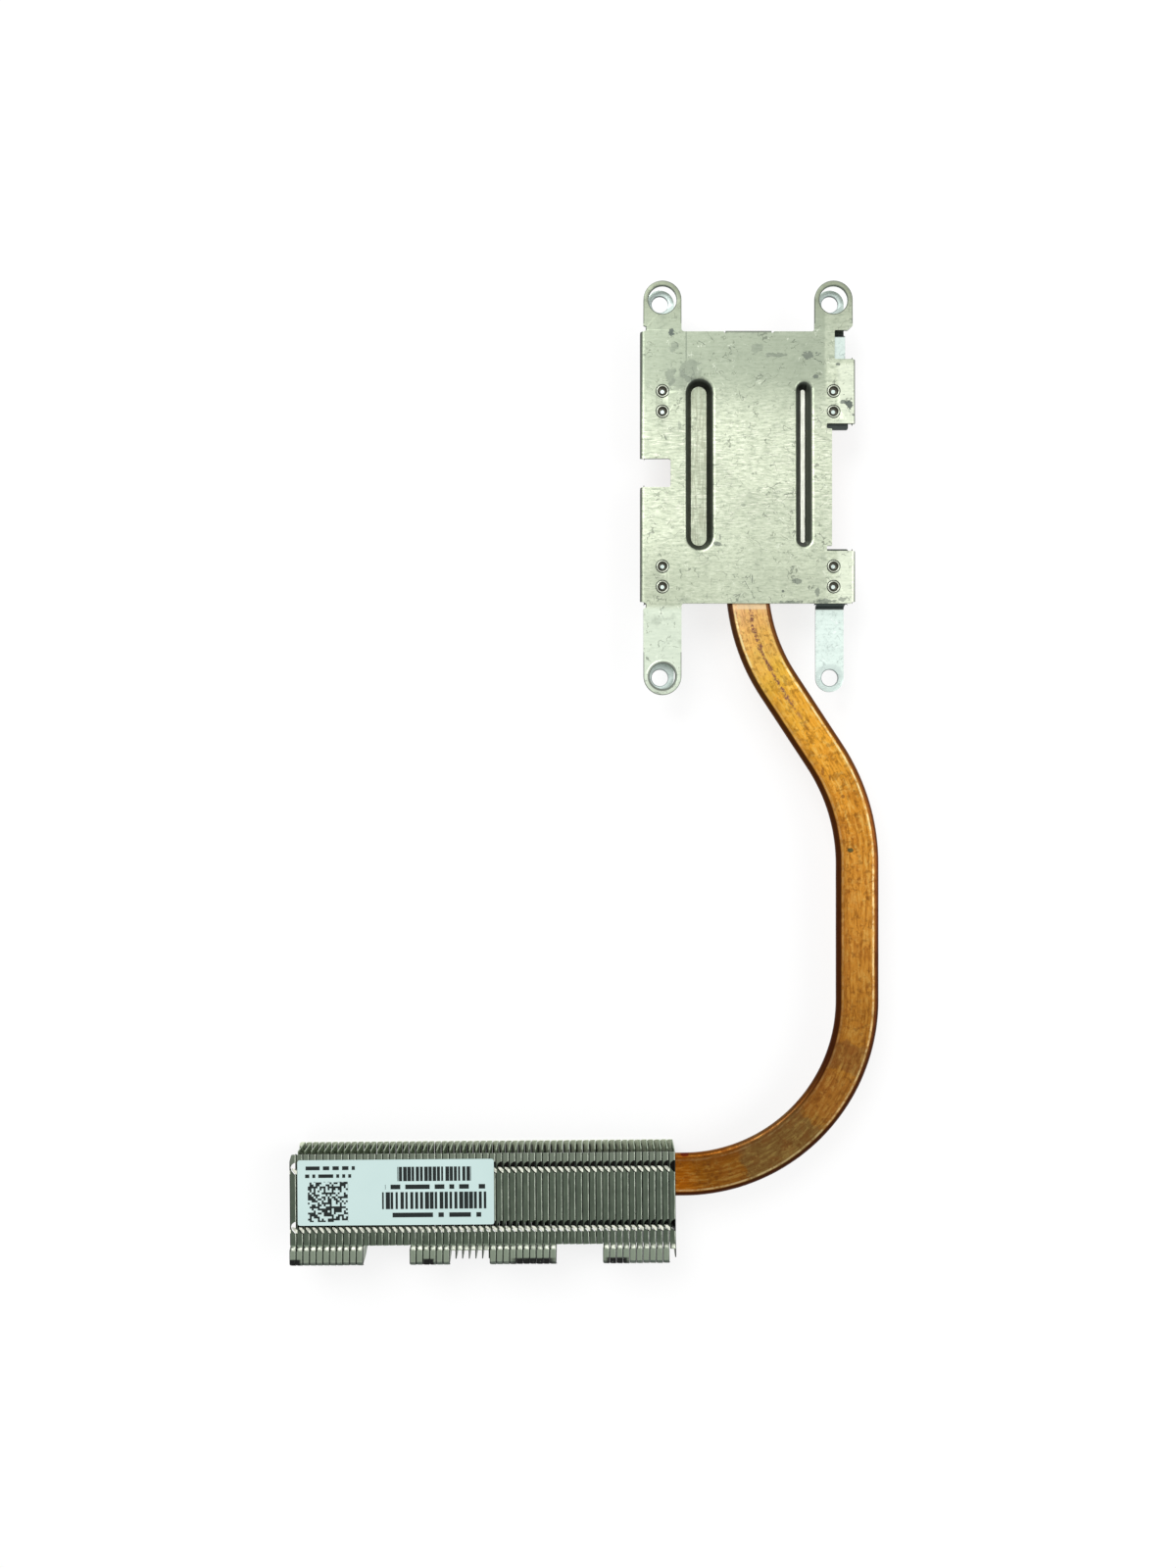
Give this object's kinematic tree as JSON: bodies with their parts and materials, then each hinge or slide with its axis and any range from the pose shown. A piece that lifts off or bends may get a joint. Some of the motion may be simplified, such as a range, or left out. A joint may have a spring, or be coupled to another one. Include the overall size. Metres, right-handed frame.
{
  "type": "notebook cooler module",
  "caption": "Flat heat pipe cooler module of a notebook computer: a contact block under a pressed cover with sprung screw arms, a curved flat pipe and a row of zipped fins.",
  "frame": {"origin": "on the underside of the contact block, in line with the centre of the four screw holes", "axes": "+Z away from the processor, towards the cover; +Y from the row of fins towards the cover, across the notebook; +X to the right seen from above"},
  "size_m": [0.1146, 0.1912, 0.0101],
  "materials": {
    "copper": "dull, stained",
    "wick": "matt, porous",
    "cover_plate": "brushed, stained",
    "spring_arms": "satin",
    "rivets": "satin",
    "fins": "dull",
    "label": "matt"
  },
  "bodies": {
    "root": {"base_block": "copper", "cover_plate": "cover_plate", "fin_01": "fins", "fin_02": "fins", "fin_03": "fins", "fin_04": "fins", "fin_05": "fins", "fin_06": "fins", "fin_07": "fins", "fin_08": "fins", "fin_09": "fins", "fin_10": "fins", "fin_11": "fins", "fin_19": "fins", "fin_20": "fins", "fin_21": "fins", "fin_22": "fins", "fin_23": "fins", "fin_24": "fins", "fin_31": "fins", "fin_32": "fins", "fin_33": "fins", "fin_34": "fins", "fin_35": "fins", "fin_36": "fins", "fin_37": "fins", "fin_38": "fins", "fin_39": "fins", "fin_40": "fins", "fin_48": "fins", "fin_49": "fins", "fin_50": "fins", "fin_51": "fins", "fin_52": "fins", "fin_53": "fins", "fin_54": "fins", "fin_55": "fins", "fin_56": "fins", "fin_57": "fins", "fin_58": "fins", "fins_12_to_18": "fins", "fins_25_to_30": "fins", "fins_41_to_47": "fins", "heat_pipe": "copper", "label": "label", "pipe_wick": "wick", "rivets_lower_left": "rivets", "rivets_lower_right": "rivets", "rivets_upper_left": "rivets", "rivets_upper_right": "rivets", "spring_arm_lower_left": "spring_arms", "spring_arm_lower_right": "spring_arms", "spring_arm_upper_left": "spring_arms", "spring_arm_upper_right": "spring_arms"}
  },
  "joints": []
}
